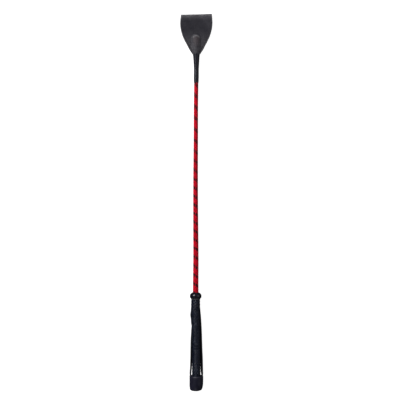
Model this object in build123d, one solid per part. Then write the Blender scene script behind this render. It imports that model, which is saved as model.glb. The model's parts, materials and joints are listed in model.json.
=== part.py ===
"""Riding crop, lying on its side as on a shelf, in millimetres.

The crop is drawn along its own long axis first: +Y runs from the butt to the tip, radii are taken about
that axis and distances along it start at the butt. At the end every piece is laid down together, so that
the cap's rim, the strap's loop and the keeper's fold rest on z = 0.
"""
from math import atan, degrees
import os

from build123d import *

os.makedirs("parts", exist_ok=True)

# ---- driving dimensions, mm -------------------------------------------------------------------------
LENGTH = 650.0                      # butt to the keeper's fold
GAP = 0.03                          # between pieces that sit tightly one inside another
FREE = 0.3                          # between pieces that move past each other
SPARE = 5.0                         # how far a cutting shape stands past what it cuts
LIE_SLOPE = 0.008                   # how much the axis falls, per mm, towards the tip

# end cap
CAP_R = 11.6
CAP_TOP = 26.1
CAP_WALL = 1.2
CAP_FLOOR = 2.8
CAP_DOME_R, CAP_DOME_RISE = 6.0, 0.7
CAP_EDGE_TOP = 8.6                  # the rounded edge ends this far up
CAP_RIM_ROUND = 0.5
PLUG_SUNK = 0.6                     # the bung inside ends this far below the rim

# handle
GRIP_END_R, GRIP_TOP_R = 6.75, 7.15
GRIP_END, GRIP_TOP = 19.0, 158.0
CORE_R = 5.6
CORE_END, CORE_TOP = 8.0, 146.0
BINDING_TOP = 157.0                 # thread binding on the braid's lower end, above the core

# collar ring
COLLAR_TOP = 169.2
COLLAR_WIDEST_R, COLLAR_WIDEST = 9.5, 164.4
COLLAR_WAIST_R, COLLAR_WAIST = 8.7, 161.6
COLLAR_LIP_R = 6.4

# stem: a tapered rod under a braided cover
COVER_WALL = 1.0
COVER_END, COVER_TOP = 146.5, 543.0
STEM_LOW_R, STEM_LOW = 4.6, 169.2
STEM_MID_R, STEM_MID = 3.42, 430.0
STEM_TOP_R, STEM_TOP = 3.25, 529.0
TUCKED_R, TUCKED = 3.05, 532.0      # the cover is pulled thinner where it is bound
UPPER_BINDING_START, UPPER_BINDING_TOP = 534.0, 542.0
ROD_BUTT = 10.0
ROD_TIP_R, ROD_TIP = 2.2, 609.5
TIP_CAP_R, TIP_CAP_START, TIP_CAP_END = 3.0, 601.0, 611.0

# sleeve over the joint between stem and keeper: distance along the axis, outer radius
SLEEVE = [(531.4, 3.7), (537.0, 3.92), (553.5, 3.88), (569.0, 4.66), (580.6, 5.8)]
SLEEVE_WALL = 0.5

# keeper: a doubled leather tongue, wide at its fold
LEATHER = 2.2                       # one layer
NECK, NECK_HALF = 580.6, 5.9
SHOULDER, SHOULDER_HALF = 610.5, 21.6
WIDEST, WIDEST_HALF = 633.0, 27.35
FOLD_HALF = 26.3
TAIL_START, TAIL_PARALLEL, TAIL_R = 545.0, 553.5, 2.9
BUMP_LOW_R, BUMP_HIGH_R = 5.2, 4.9  # the leather's bulge over the rod
BUMP_TOP = 612.9
BUMP_TAPER_END = 605.0              # the bulge narrows up to here
TAIL_LAYER = 0.5                    # thread between the tails and the sleeve
HINGE = 616.0                       # the tongue bends just past the rod's end
FOLD_DROP = 4.37                    # how far the fold hangs below the axis

# thread over the keeper's tails
WHIPPING_START, WHIPPING = 547.0, 0.28

# stitches beside the keeper's edges
STITCH_FIRST, STITCH_LAST = 589.0, 608.0
STITCH_COUNT = 7
STITCH_LENGTH, STITCH_WIDE, STITCH_HIGH = 2.2, 0.7, 0.35
STITCH_INSET = 2.6

# wrist strap
STRAP_WIDE, STRAP_THICK = 6.0, 2.2
STRAP_X = 9.2                       # middle of each tail, beside the handle
STRAP_TAIL_START = 10.0
STRAP_HINGE = 34.0
SWING_ROOM = 1.3                    # between the tails' ends and the loop's round ends
STRAP_MID, STRAP_MID_X, STRAP_MID_Z = 78.0, 8.4, -4.5
STRAP_MID_HIGH = 5.0                # how tall the strap stands half way, part turned over
STRAP_RIGHT_BOW = 0.9               # the right leg stands further out half way
STRAP_FLAT, STRAP_BEND = 118.0, 131.0
STRAP_FLAT_OUT, STRAP_FLAT_IN = 9.6, 4.1
STRAP_FLAT_Z = -9.55

# tacks
TACK_SHANK_R, TACK_HEAD_R, TACK_HEAD = 0.55, 1.4, 0.5
STRAP_TACK_AT = 14.0
CAP_TACK_AT, CAP_TACK_ANGLE = 7.1, 48.0
CAP_TACK_SURFACE = 11.35            # cap radius where its tacks stand
CAP_TACK_DEPTH = 4.0

# ---- dimensions that follow -------------------------------------------------------------------------
ROD_LOW_R = STEM_LOW_R - COVER_WALL
ROD_MID_R = STEM_MID_R - COVER_WALL
ROD_TOP_R = STEM_TOP_R - COVER_WALL
CAP_BORE_R = CAP_R - CAP_WALL
FOLD_MIDDLE = LENGTH - LEATHER      # centre of the fold's round edge
TWICE = 2


# ---- helpers ----------------------------------------------------------------------------------------
def turned(points):
    """A solid of revolution about the long axis, from (radius, distance) corners."""
    return revolve(make_face(Polyline(*points, close=True)), Axis.Y)


def ring(inner, outer, start, end):
    return turned([(inner, start), (outer, start), (outer, end), (inner, end)])


def block(low, high):
    """A box from its lowest to its highest corner."""
    size = [b - a for a, b in zip(low, high)]
    middle = [(a + b) / TWICE for a, b in zip(low, high)]
    return Pos(*middle) * Box(*size)


def radial_tack(at, angle, surface, depth):
    """A tack driven towards the axis: its head's top is at the surface radius."""
    shank = Cylinder(TACK_SHANK_R, depth, align=(Align.CENTER, Align.CENTER, Align.MAX))
    head = Cylinder(TACK_HEAD_R, TACK_HEAD, align=(Align.CENTER, Align.CENTER, Align.MAX))
    tack = Pos(0, 0, surface) * (head + shank)
    return Pos(0, at, 0) * Rot(0, 90 - angle, 0) * tack


# ---- stem -------------------------------------------------------------------------------------------
def make_core_rod():
    return turned([
        (0, ROD_BUTT), (ROD_LOW_R, ROD_BUTT), (ROD_LOW_R, STEM_LOW), (ROD_MID_R, STEM_MID),
        (ROD_TOP_R, STEM_TOP), (ROD_TIP_R, ROD_TIP), (0, ROD_TIP),
    ])


def make_braid_cover():
    inner = [
        (ROD_TOP_R + GAP, COVER_TOP), (ROD_TOP_R + GAP, STEM_TOP),
        (ROD_MID_R + GAP, STEM_MID), (ROD_LOW_R + GAP, STEM_LOW), (ROD_LOW_R + GAP, COVER_END),
    ]
    outer = [
        (STEM_LOW_R, COVER_END), (STEM_LOW_R, STEM_LOW), (STEM_MID_R, STEM_MID),
        (STEM_TOP_R, STEM_TOP), (TUCKED_R, TUCKED), (TUCKED_R, COVER_TOP),
    ]
    return turned(inner + outer)


def make_rod_tip_cap():
    """A round-ended cap pressed over the rod's end."""
    round_start = TIP_CAP_END - TIP_CAP_R
    wall = Polyline((0, ROD_TIP + GAP), (ROD_TIP_R + GAP, ROD_TIP + GAP), (ROD_TIP_R + GAP, TIP_CAP_START),
                    (TIP_CAP_R, TIP_CAP_START), (TIP_CAP_R, round_start))
    nose = CenterArc((0, round_start), TIP_CAP_R, 0, 90)
    middle = Line((0, TIP_CAP_END), (0, ROD_TIP + GAP))
    return revolve(make_face([wall, nose, middle]), Axis.Y)


def make_upper_braid_binding():
    sleeve_bore = SLEEVE[2][1] - SLEEVE_WALL
    return ring(TUCKED_R + GAP, sleeve_bore - TWICE * GAP, UPPER_BINDING_START, UPPER_BINDING_TOP)


def make_lower_braid_binding():
    return ring(STEM_LOW_R + GAP, CORE_R, CORE_TOP + GAP, BINDING_TOP)


def make_tip_sleeve():
    outer = Spline(*[(r, s) for s, r in SLEEVE])
    inner = Spline(*[(r - SLEEVE_WALL, s) for s, r in SLEEVE])
    low = Line(outer @ 0, inner @ 0)
    high = Line(outer @ 1, inner @ 1)
    return revolve(make_face([outer, inner, low, high]), Axis.Y)


# ---- keeper -----------------------------------------------------------------------------------------
def half_outline(side):
    """One edge of the tongue, from the neck to the fold."""
    neck = (side * NECK_HALF, NECK)
    shoulder = (side * SHOULDER_HALF, SHOULDER)
    widest = (side * WIDEST_HALF, WIDEST)
    slant = (shoulder[0] - neck[0], shoulder[1] - neck[1])
    return [
        Line(neck, shoulder),
        TangentArc(shoulder, widest, tangent=slant),
        Line(widest, (side * FOLD_HALF, LENGTH)),
    ]


def tongue_outline():
    across_neck = Line((-NECK_HALF, NECK), (NECK_HALF, NECK))
    across_fold = Line((-FOLD_HALF, LENGTH), (FOLD_HALF, LENGTH))
    return make_face(half_outline(-1) + half_outline(1) + [across_neck, across_fold])


def make_keeper_flap():
    """The free part of the tongue, which sags in a gentle arc from the hinge line to the fold."""
    run = FOLD_MIDDLE - HINGE
    bend_r = (run ** 2 + FOLD_DROP ** 2) / (TWICE * FOLD_DROP)
    sweep = TWICE * degrees(atan(FOLD_DROP / run))
    plane = Plane.YZ
    centre = (HINGE, -bend_r)
    middle_line = plane * CenterArc(centre, bend_r, 90 - sweep, sweep)
    outer = plane * CenterArc(centre, bend_r + LEATHER, 90 - sweep, sweep)
    inner = plane * CenterArc(centre, bend_r - LEATHER, 90 - sweep, sweep)
    ends = [plane * Line(plane.to_local_coords(inner @ t), plane.to_local_coords(outer @ t)) for t in (0, 1)]
    side_view = make_face([outer, inner] + ends)
    slab = extrude(side_view, WIDEST_HALF + SPARE, both=True)
    for t in (0, 1):
        edge = middle_line @ t
        rounded = Rot(0, 90, 0) * Cylinder(LEATHER, TWICE * (WIDEST_HALF + SPARE))
        slab += Pos(0, edge.Y, edge.Z) * rounded
    return slab & extrude(tongue_outline(), FOLD_DROP + LEATHER + SPARE, both=True)


def keeper_bore():
    """The hollow that the rod and its cap fill."""
    rod = ring(0, ROD_TOP_R + GAP, TAIL_START - SPARE, TIP_CAP_START + GAP)
    round_start = TIP_CAP_END - TIP_CAP_R
    cap = ring(0, TIP_CAP_R + GAP, TIP_CAP_START - GAP, round_start)
    nose = Pos(0, round_start, 0) * Sphere(TIP_CAP_R + GAP)
    return rod + cap + nose


def tails_widen():
    """Where the tails start to widen faster towards the neck, as (radius, distance)."""
    at, sleeve_r = SLEEVE[3]
    return (sleeve_r - SLEEVE_WALL - TAIL_LAYER, at)


def make_keeper_base(stitches):
    """The fixed part: two layers closed over the rod's end, with tails along the rod in the sleeve."""
    end = HINGE - LEATHER - FREE
    plate = extrude(tongue_outline(), LEATHER, both=True)
    plate &= block((-FOLD_HALF, NECK, -LEATHER), (FOLD_HALF, end, LEATHER))
    round_start = BUMP_TOP - BUMP_HIGH_R
    tails_and_bulge = turned([
        (0, TAIL_START), (TAIL_R, TAIL_START), (TAIL_R, TAIL_PARALLEL), tails_widen(), (BUMP_LOW_R, NECK),
        (BUMP_HIGH_R, BUMP_TAPER_END), (BUMP_HIGH_R, round_start), (0, round_start),
    ])
    nose = Pos(0, round_start, 0) * Sphere(BUMP_HIGH_R)
    return plate + tails_and_bulge + nose - keeper_bore() - stitches


def make_keeper_stitching():
    """Two rows of lock stitches, each a small ring of thread through both layers."""
    slant = (SHOULDER_HALF - NECK_HALF) / (SHOULDER - NECK)
    lean = degrees(atan(slant))
    ring_of_thread = Box(STITCH_WIDE, STITCH_LENGTH, TWICE * (LEATHER + STITCH_HIGH))
    ring_of_thread -= Box(STITCH_WIDE * TWICE, STITCH_LENGTH - TWICE * STITCH_WIDE, TWICE * LEATHER)
    step = (STITCH_LAST - STITCH_FIRST) / (STITCH_COUNT - 1)
    stitches = []
    for side in (-1, 1):
        for i in range(STITCH_COUNT):
            along = STITCH_FIRST + i * step
            across = NECK_HALF + slant * (along - NECK) - STITCH_INSET
            stitches.append(Pos(side * across, along, 0) * Rot(0, 0, -side * lean) * ring_of_thread)
    return Compound(children=stitches)


def make_keeper_whipping():
    """Thread wound over the keeper's tails, inside the sleeve."""
    wide_r, wide_at = tails_widen()
    return turned([
        (TAIL_R + GAP, WHIPPING_START), (TAIL_R + WHIPPING, WHIPPING_START),
        (TAIL_R + WHIPPING, TAIL_PARALLEL), (wide_r + WHIPPING, wide_at),
        (wide_r + GAP, wide_at), (TAIL_R + GAP, TAIL_PARALLEL),
    ])


# ---- handle -----------------------------------------------------------------------------------------
def make_handle_core():
    return ring(ROD_LOW_R + GAP, CORE_R, CORE_END, CORE_TOP)


def make_grip_cover():
    return turned([
        (CORE_R + GAP, GRIP_END), (GRIP_END_R, GRIP_END), (GRIP_END_R, CAP_TOP),
        (GRIP_TOP_R, GRIP_TOP), (CORE_R + GAP, GRIP_TOP),
    ])


def make_collar_ring():
    """A ring with a full round bead that narrows to the grip below it."""
    bore = STEM_LOW_R + GAP
    bottom, top = GRIP_TOP + GAP, COLLAR_TOP
    foot = Line((bore, bottom), (GRIP_TOP_R, bottom))
    waist = (COLLAR_WAIST_R, COLLAR_WAIST)
    flank = Line((GRIP_TOP_R, bottom), waist)
    bead = ThreePointArc(waist, (COLLAR_WIDEST_R, COLLAR_WIDEST), (COLLAR_LIP_R, top))
    roof = Line((COLLAR_LIP_R, top), (bore, top))
    wall = Line((bore, top), (bore, bottom))
    return revolve(make_face([foot, flank, bead, roof, wall]), Axis.Y)


# ---- butt -------------------------------------------------------------------------------------------
def make_end_cap(tacks):
    dome_middle = (CAP_DOME_R / TWICE, CAP_DOME_RISE / TWICE ** 2)
    dome = ThreePointArc((0, 0), dome_middle, (CAP_DOME_R, CAP_DOME_RISE))
    edge = TangentArc((CAP_R, CAP_EDGE_TOP), (CAP_DOME_R, CAP_DOME_RISE), tangent=(0, -1))
    side = Line((CAP_R, CAP_EDGE_TOP), (CAP_R, CAP_TOP - CAP_RIM_ROUND))
    rim = CenterArc((CAP_R - CAP_RIM_ROUND, CAP_TOP - CAP_RIM_ROUND), CAP_RIM_ROUND, 0, 90)
    inside = Polyline((CAP_R - CAP_RIM_ROUND, CAP_TOP), (CAP_BORE_R, CAP_TOP),
                      (CAP_BORE_R, CAP_EDGE_TOP), (CAP_DOME_R, CAP_FLOOR), (0, CAP_FLOOR), (0, 0))
    return revolve(make_face([dome, edge, side, rim, inside]), Axis.Y) - tacks


def strap_slot(side):
    """The room that one strap tail takes up in the plug."""
    low = min(side * (STRAP_X - STRAP_THICK / TWICE), side * CAP_R)
    high = max(side * (STRAP_X - STRAP_THICK / TWICE), side * CAP_R)
    half = STRAP_WIDE / TWICE
    return block((low, STRAP_TAIL_START, -half), (high, CAP_TOP + SPARE, half))


def make_butt_plug(tacks):
    """The bung between handle and cap, with a channel for each strap tail."""
    top = CAP_TOP - PLUG_SUNK
    plug = turned([
        (0, CAP_FLOOR + GAP), (CAP_DOME_R - GAP, CAP_FLOOR + GAP), (CAP_BORE_R - GAP, CAP_EDGE_TOP + GAP),
        (CAP_BORE_R - GAP, top), (GRIP_END_R + GAP, top), (GRIP_END_R + GAP, GRIP_END - GAP),
        (CORE_R + GAP, GRIP_END - GAP), (CORE_R + GAP, CORE_END - GAP), (0, CORE_END - GAP),
    ])
    return plug - strap_slot(-1) - strap_slot(1) - tacks


def make_cap_tacks():
    """Two small tacks on opposite sides, through the cap's wall into the plug."""
    return Compound(children=[
        radial_tack(CAP_TACK_AT, angle, CAP_TACK_SURFACE, CAP_TACK_DEPTH)
        for angle in (CAP_TACK_ANGLE, CAP_TACK_ANGLE + 180)
    ])


# ---- wrist strap ------------------------------------------------------------------------------------
def make_strap_tails(tacks):
    """The strap's two ends, between cap and handle, up to the line where the loop swings."""
    half = STRAP_WIDE / TWICE
    top = STRAP_HINGE - half - SWING_ROOM
    inside_cap = ring(0, CAP_BORE_R - GAP, STRAP_TAIL_START, top)
    tails = []
    for side in (-1, 1):
        inner, outer = STRAP_X - STRAP_THICK / TWICE, STRAP_X + STRAP_THICK / TWICE
        low, high = sorted((side * inner, side * outer))
        tail = block((low, STRAP_TAIL_START, -half), (high, top, half)) & inside_cap
        tails.append(tail - tacks)
    return Compound(children=tails)


def make_strap_tacks():
    surface = STRAP_X + STRAP_THICK / TWICE
    return Compound(children=[
        radial_tack(STRAP_TACK_AT, angle, surface, surface - CORE_R - FREE) for angle in (0, 180)
    ])


def strap_section(at, low_x, high_x, middle_z, height):
    """A rectangle across the strap, at a distance along the axis."""
    plane = Plane(((low_x + high_x) / TWICE, at, middle_z), x_dir=(1, 0, 0), z_dir=(0, 1, 0))
    return plane * Rectangle(high_x - low_x, height)


def make_strap_loop():
    """The loop: each leg stands on edge at the cap and turns flat to pass under the handle."""
    half = STRAP_THICK / TWICE
    loop = None
    for side in (-1, 1):
        bow = STRAP_RIGHT_BOW if side > 0 else 0.0
        mid = STRAP_MID_X + bow
        near = sorted((side * (STRAP_X - half), side * (STRAP_X + half)))
        middle = sorted((side * (mid - half), side * (mid + half)))
        flat = sorted((side * STRAP_FLAT_IN, side * STRAP_FLAT_OUT))
        sections = [
            strap_section(STRAP_HINGE, *near, 0, STRAP_WIDE),
            strap_section(STRAP_MID, *middle, STRAP_MID_Z, STRAP_MID_HIGH),
            strap_section(STRAP_FLAT, *flat, STRAP_FLAT_Z, STRAP_THICK),
        ]
        leg = loft(sections, ruled=True)
        knuckle = Pos(side * STRAP_X, STRAP_HINGE, 0) * Rot(0, 90, 0)
        leg += knuckle * Cylinder(STRAP_WIDE / TWICE, STRAP_THICK)
        leg += block((flat[0], STRAP_FLAT, STRAP_FLAT_Z - half), (flat[1], STRAP_BEND, STRAP_FLAT_Z + half))
        loop = leg if loop is None else loop + leg
    bend = Circle(STRAP_FLAT_OUT) - Circle(STRAP_FLAT_IN)
    bend &= Pos(0, STRAP_FLAT_OUT, 0) * Rectangle(TWICE * STRAP_FLAT_OUT, TWICE * STRAP_FLAT_OUT)
    return loop + Pos(0, STRAP_BEND, STRAP_FLAT_Z) * extrude(bend, half, both=True)


# ---- build, lay down and write ----------------------------------------------------------------------
stitching = make_keeper_stitching()
cap_tacks = make_cap_tacks()
strap_tacks = make_strap_tacks()

pieces = {
    "core_rod": make_core_rod(),
    "rod_tip_cap": make_rod_tip_cap(),
    "braid_cover": make_braid_cover(),
    "upper_braid_binding": make_upper_braid_binding(),
    "lower_braid_binding": make_lower_braid_binding(),
    "tip_sleeve": make_tip_sleeve(),
    "keeper_base": make_keeper_base(stitching),
    "keeper_flap": make_keeper_flap(),
    "keeper_stitching": stitching,
    "keeper_whipping": make_keeper_whipping(),
    "handle_core": make_handle_core(),
    "grip_cover": make_grip_cover(),
    "collar_ring": make_collar_ring(),
    "end_cap": make_end_cap(cap_tacks),
    "butt_plug": make_butt_plug(cap_tacks + strap_tacks),
    "cap_tacks": cap_tacks,
    "strap_tails": make_strap_tails(strap_tacks),
    "strap_tacks": strap_tacks,
    "strap_loop": make_strap_loop(),
}

tilt = Rot(-degrees(atan(LIE_SLOPE)), 0, 0)
lying = Compound(children=[tilt * piece for piece in pieces.values()]).bounding_box()
place = Pos(-lying.center().X, -lying.center().Y, -lying.min.Z) * tilt

for name, piece in pieces.items():
    export_step(place * piece, f"parts/{name}.step")

landmarks = {
    "flap hinge": (HINGE, 0),
    "strap hinge": (STRAP_HINGE, 0),
    "loop end": (STRAP_BEND + STRAP_FLAT_OUT, STRAP_FLAT_Z),
    "grip middle": ((CAP_TOP + GRIP_TOP) / TWICE, 0),
}
for name, (at, height) in landmarks.items():
    print(name, (place * Pos(0, at, height)).position)
print("size", lying.size)
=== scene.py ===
import json
import math

import bmesh
import bpy
import numpy as np
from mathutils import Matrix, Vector


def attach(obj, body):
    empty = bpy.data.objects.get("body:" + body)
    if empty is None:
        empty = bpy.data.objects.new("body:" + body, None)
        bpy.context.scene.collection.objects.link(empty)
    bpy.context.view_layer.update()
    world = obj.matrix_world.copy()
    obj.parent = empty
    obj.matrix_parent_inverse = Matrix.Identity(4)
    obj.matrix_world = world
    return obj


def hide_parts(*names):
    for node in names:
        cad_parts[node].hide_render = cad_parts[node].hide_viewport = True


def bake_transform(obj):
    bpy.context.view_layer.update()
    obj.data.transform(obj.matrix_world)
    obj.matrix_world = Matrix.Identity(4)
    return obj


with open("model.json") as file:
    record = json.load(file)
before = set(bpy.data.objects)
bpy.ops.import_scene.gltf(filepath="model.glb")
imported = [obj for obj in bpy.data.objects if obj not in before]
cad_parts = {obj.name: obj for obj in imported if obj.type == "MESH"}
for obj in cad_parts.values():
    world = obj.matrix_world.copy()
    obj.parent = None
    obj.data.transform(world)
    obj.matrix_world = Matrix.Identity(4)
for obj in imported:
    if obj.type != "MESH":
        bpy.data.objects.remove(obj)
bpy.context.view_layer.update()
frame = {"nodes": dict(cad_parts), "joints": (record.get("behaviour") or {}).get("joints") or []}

MM = 0.001
MEETING = 0.0005 * MM                                # points nearer to each other than this are one
ACROSS = np.array((1.0, 0.0, 0.0))

# ---- the crop's own frame, from the two hinges, which lie on its axis --------------------------------
STRAP_HINGE = 34.0                                   # from the butt
hinge_at = {j["name"]: np.array(j["pos_m"]) for j in frame["joints"]}
hinge_run = hinge_at["keeper_bend"] - hinge_at["loop_swing"]
AXIS = hinge_run / np.linalg.norm(hinge_run)
UP = np.cross(ACROSS, AXIS)
BUTT = hinge_at["loop_swing"] - AXIS * STRAP_HINGE * MM
KEEPER_HINGE = STRAP_HINGE + np.linalg.norm(hinge_run) / MM


def measured(node):
    """(first, last, radius) of a CAD node: its reach along the axis and about it."""
    co = np.array([v.co for v in frame["nodes"][node].data.vertices]) - BUTT
    along = co @ AXIS / MM
    radius = np.hypot(co @ ACROSS, co @ UP) / MM
    return along.min(), along.max(), radius.max()


_, CAD_CAP_TOP, CAP_R = measured("end_cap")
CAP_TOP = CAD_CAP_TOP - 0.6                          # the rim is rolled in a little
COLLAR_START, COLLAR_TOP, COLLAR_R = measured("collar_ring")
CAD_SLEEVE_START, NECK, NECK_R = measured("tip_sleeve")
SLEEVE_START = CAD_SLEEVE_START - 0.7                # the sleeve has crept down the braid a little
_, GRIP_TOP, GRIP_TOP_R = measured("grip_cover")
_, FOLD, _ = measured("keeper_flap")
_, _, STEM_LOW_R = measured("braid_cover")

# The crop has taken a very slight set: how far its middle stands to the right, at some distances.
SET = [(0, -0.75), (3.5, -0.2), (8, 0.15), (12, 0.36), (20, 0.42), (60, 0.3), (150, -0.7), (180, -0.7),
       (230, -0.35), (275, -0.6), (325, -0.9), (380, -0.85), (440, -0.45), (490, -0.3), (520, 0.1),
       (560, 0.45), (605, 0.2), (650, 0.45)]


def smooth(points, at):
    """A smooth line through (position, value) points, read at some positions."""
    xs, ys = (np.array(c, float) for c in zip(*points))
    slope = np.gradient(ys, xs)
    at = np.asarray(at, float)
    i = np.clip(np.searchsorted(xs, at) - 1, 0, len(xs) - 2)
    span = xs[i + 1] - xs[i]
    t = np.clip((at - xs[i]) / span, 0, 1)
    t2, t3 = t * t, t * t * t
    return (
        (2 * t3 - 3 * t2 + 1) * ys[i]
        + (t3 - 2 * t2 + t) * span * slope[i]
        + (3 * t2 - 2 * t3) * ys[i + 1]
        + (t3 - t2) * span * slope[i + 1]
    )


def ease(value, start, end):
    """0 before start, 1 after end, smooth between."""
    t = np.clip((np.asarray(value, float) - start) / (end - start), 0, 1)
    return t * t * (3 - 2 * t)


def to_row(points):
    """Points of the crop's own frame, with the crop's set, in the row frame."""
    p = np.asarray(points, float)
    x = p[:, 0] + smooth(SET, p[:, 1])
    return BUTT + MM * (np.outer(x, ACROSS) + np.outer(p[:, 1], AXIS) + np.outer(p[:, 2], UP))


def around(count):
    """Evenly spaced angles of a full turn."""
    return np.linspace(0, 2 * math.pi, count, endpoint=False)


def polar(angle, along, radius):
    """Points about the axis: angle 0 is on top, and it grows towards +x."""
    return np.stack([radius * np.sin(angle), along + 0 * angle, radius * np.cos(angle)], axis=-1)


# ---- meshes ------------------------------------------------------------------------------------------
def tube_faces(rings, count, first=0, capped=True, ring_closed=False):
    """Quads over a run of rings of equal size. ring_closed joins the last ring to the first."""
    faces = []
    last = rings if ring_closed else rings - 1
    for r in range(last):
        a = first + r * count
        b = first + ((r + 1) % rings) * count
        faces += [(a + k, a + (k + 1) % count, b + (k + 1) % count, b + k) for k in range(count)]
    if capped and not ring_closed:
        faces.append(tuple(range(first + count - 1, first - 1, -1)))
        faces.append(tuple(first + (rings - 1) * count + k for k in range(count)))
    return faces


def piece(name, points, faces, material, body=None, stands_for=(), slot=None, uv=None, **marks):
    """A mesh piece from points in the crop's own frame. uv and marks are one value per point."""
    mesh = bpy.data.meshes.new(name)
    mesh.from_pydata(to_row(points).tolist(), [], faces)
    if uv is not None:
        corner = np.zeros(len(mesh.loops), np.int64)
        mesh.loops.foreach_get("vertex_index", corner)
        layer = mesh.uv_layers.new(name="Lie")
        layer.data.foreach_set("uv", np.asarray(uv, np.float32)[corner].ravel())
    for mark, values in marks.items():
        attribute = mesh.attributes.new(mark, "FLOAT", "POINT")
        attribute.data.foreach_set("value", np.asarray(values, np.float32))
    mesh.materials.append(material)
    mesh.validate()
    mesh.shade_smooth()
    made = bpy.data.objects.new(name, mesh)
    bpy.context.scene.collection.objects.link(made)
    closed(made)
    if stands_for:
        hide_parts(*stands_for)
    if body:
        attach(made, body)
    return made


def closed(made):
    """Joins points that meet, such as those on a turned piece's axis, and turns the faces outwards."""
    work = bmesh.new()
    work.from_mesh(made.data)
    bmesh.ops.remove_doubles(work, verts=work.verts, dist=MEETING)
    bmesh.ops.recalc_face_normals(work, faces=work.faces)
    work.to_mesh(made.data)
    work.free()


def rounded_outline(corners, steps=6):
    """A closed (along, radius) outline from (along, radius, rounding) corners."""
    made = []
    count = len(corners)
    for i, (a, r, size) in enumerate(corners):
        here = np.array((a, r))
        if size <= 0:
            made.append(here)
            continue
        before = np.array(corners[i - 1][:2]) - here
        after = np.array(corners[(i + 1) % count][:2]) - here
        size = min(size, 0.49 * np.linalg.norm(before), 0.49 * np.linalg.norm(after))
        start = here + before / np.linalg.norm(before) * size
        end = here + after / np.linalg.norm(after) * size
        for t in np.linspace(0, 1, steps):
            made.append((1 - t) ** 2 * start + 2 * t * (1 - t) * here + t * t * end)
    return np.array(made)


ON_AXIS = 0.5                                        # points closer to the axis than this don't ripple


def lathe(outline, segments, ripple=None):
    """A closed solid turned about the axis, from a closed (along, radius) outline."""
    rings = []
    for angle in around(segments):
        along, radius = outline[:, 0], outline[:, 1]
        if ripple is not None:
            radius = radius + ripple(along, angle) * (radius > ON_AXIS)
        rings.append(polar(np.full(len(along), angle), along, radius))
    return np.concatenate(rings), tube_faces(segments, len(outline), capped=False, ring_closed=True)


def strand_section(count, power):
    """A flattened round section: (across, out) shares from -1 to 1."""
    t = around(count) + math.pi / count
    c, s = np.cos(t), np.sin(t)
    return np.sign(c) * np.abs(c) ** (2 / power), np.sign(s) * np.abs(s) ** (2 / power)


class Braid:
    """Strands that run round the stem both ways, over and under each other.

    Way -1 passes over "over" strands and then under "under" of them; way 1 does the opposite. radius and
    pitch are functions of the distance from the butt, width is a share of the room that a strand has, and
    samples is the number of rings in one turn of a strand.
    """

    STEPS = 4000                                     # for finding how far the strands have turned
    STEEP = 2.2                                      # how quickly a strand climbs over the next one
    SPREAD = 0.06                                    # a strand on top spreads by this share
    UV_STEP = (37.0, 11.0)                           # so that no two strands have the same grain

    def __init__(self, start, end, radius, pitch, per_way, over, under,
                 thick, lift, width, samples, section, power=2.6):
        self.radius, self.per_way, self.over, self.under = radius, per_way, over, under
        self.thick, self.lift, self.width = thick, lift, width
        self.section = strand_section(section, power)
        fine = np.linspace(start, end, self.STEPS)
        middle = 0.5 * (fine[1:] + fine[:-1])
        turn = np.concatenate([[0], np.cumsum(2 * math.pi / pitch(middle) * np.diff(fine))])
        steps = int(turn[-1] / (2 * math.pi) * samples)
        self.phase = np.linspace(0, turn[-1], steps)
        self.along = np.interp(self.phase, turn, fine)
        self.pitch = pitch(self.along)

    def height(self, index, way):
        """1 where a strand lies over the others and -1 where it lies under them."""
        period = self.over + self.under
        crossing = self.phase * self.per_way / math.pi
        place = (period - 2) * index + crossing if way < 0 else (period - 2) * index - crossing
        half = 0.5 * self.over / period
        share = np.mod((place - 0.5 * (self.over - 1)) / period + 0.5, 1.0) - 0.5
        return -way * np.clip((half - np.abs(share)) * period * self.STEEP, -1, 1)

    def strand(self, index, way, begin=0.0):
        """Points and uv of one strand; begin turns the whole braid."""
        height = self.height(index, way)
        base = self.radius(self.along)
        theta = begin + 2 * math.pi * index / self.per_way + way * self.phase
        slope = way * 2 * math.pi * base / self.pitch
        norm = np.hypot(slope, 1)
        room = 2 * math.pi * base / self.per_way / norm
        half = 0.5 * self.width * room * (1 + self.SPREAD * height)
        middle = base - 0.5 * self.thick - self.lift + self.lift * height
        across, out = self.section
        b = half[:, None] * across[None, :]
        n = 0.5 * self.thick * out[None, :]
        radius = middle[:, None] + n
        angle = theta[:, None] + b / norm[:, None] / base[:, None]
        along = self.along[:, None] - b * (slope / norm)[:, None]
        points = polar(angle, along, radius)
        length = np.concatenate([[0], np.cumsum(np.diff(self.along) * norm[1:])])
        u = np.repeat(length[:, None], len(across), axis=1) + self.UV_STEP[0] * index
        v = b + self.UV_STEP[1] * index
        return points.reshape(-1, 3), np.stack([u, v], axis=-1).reshape(-1, 2)

    def mesh(self, chosen, begin=0.0):
        """One mesh of several strands, given as (index, way)."""
        points, uvs, faces, first = [], [], [], 0
        count = len(self.section[0])
        for index, way in chosen:
            p, uv = self.strand(index, way, begin)
            faces += tube_faces(len(p) // count, count, first)
            points.append(p)
            uvs.append(uv)
            first += len(p)
        return np.concatenate(points), faces, np.concatenate(uvs)


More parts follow.
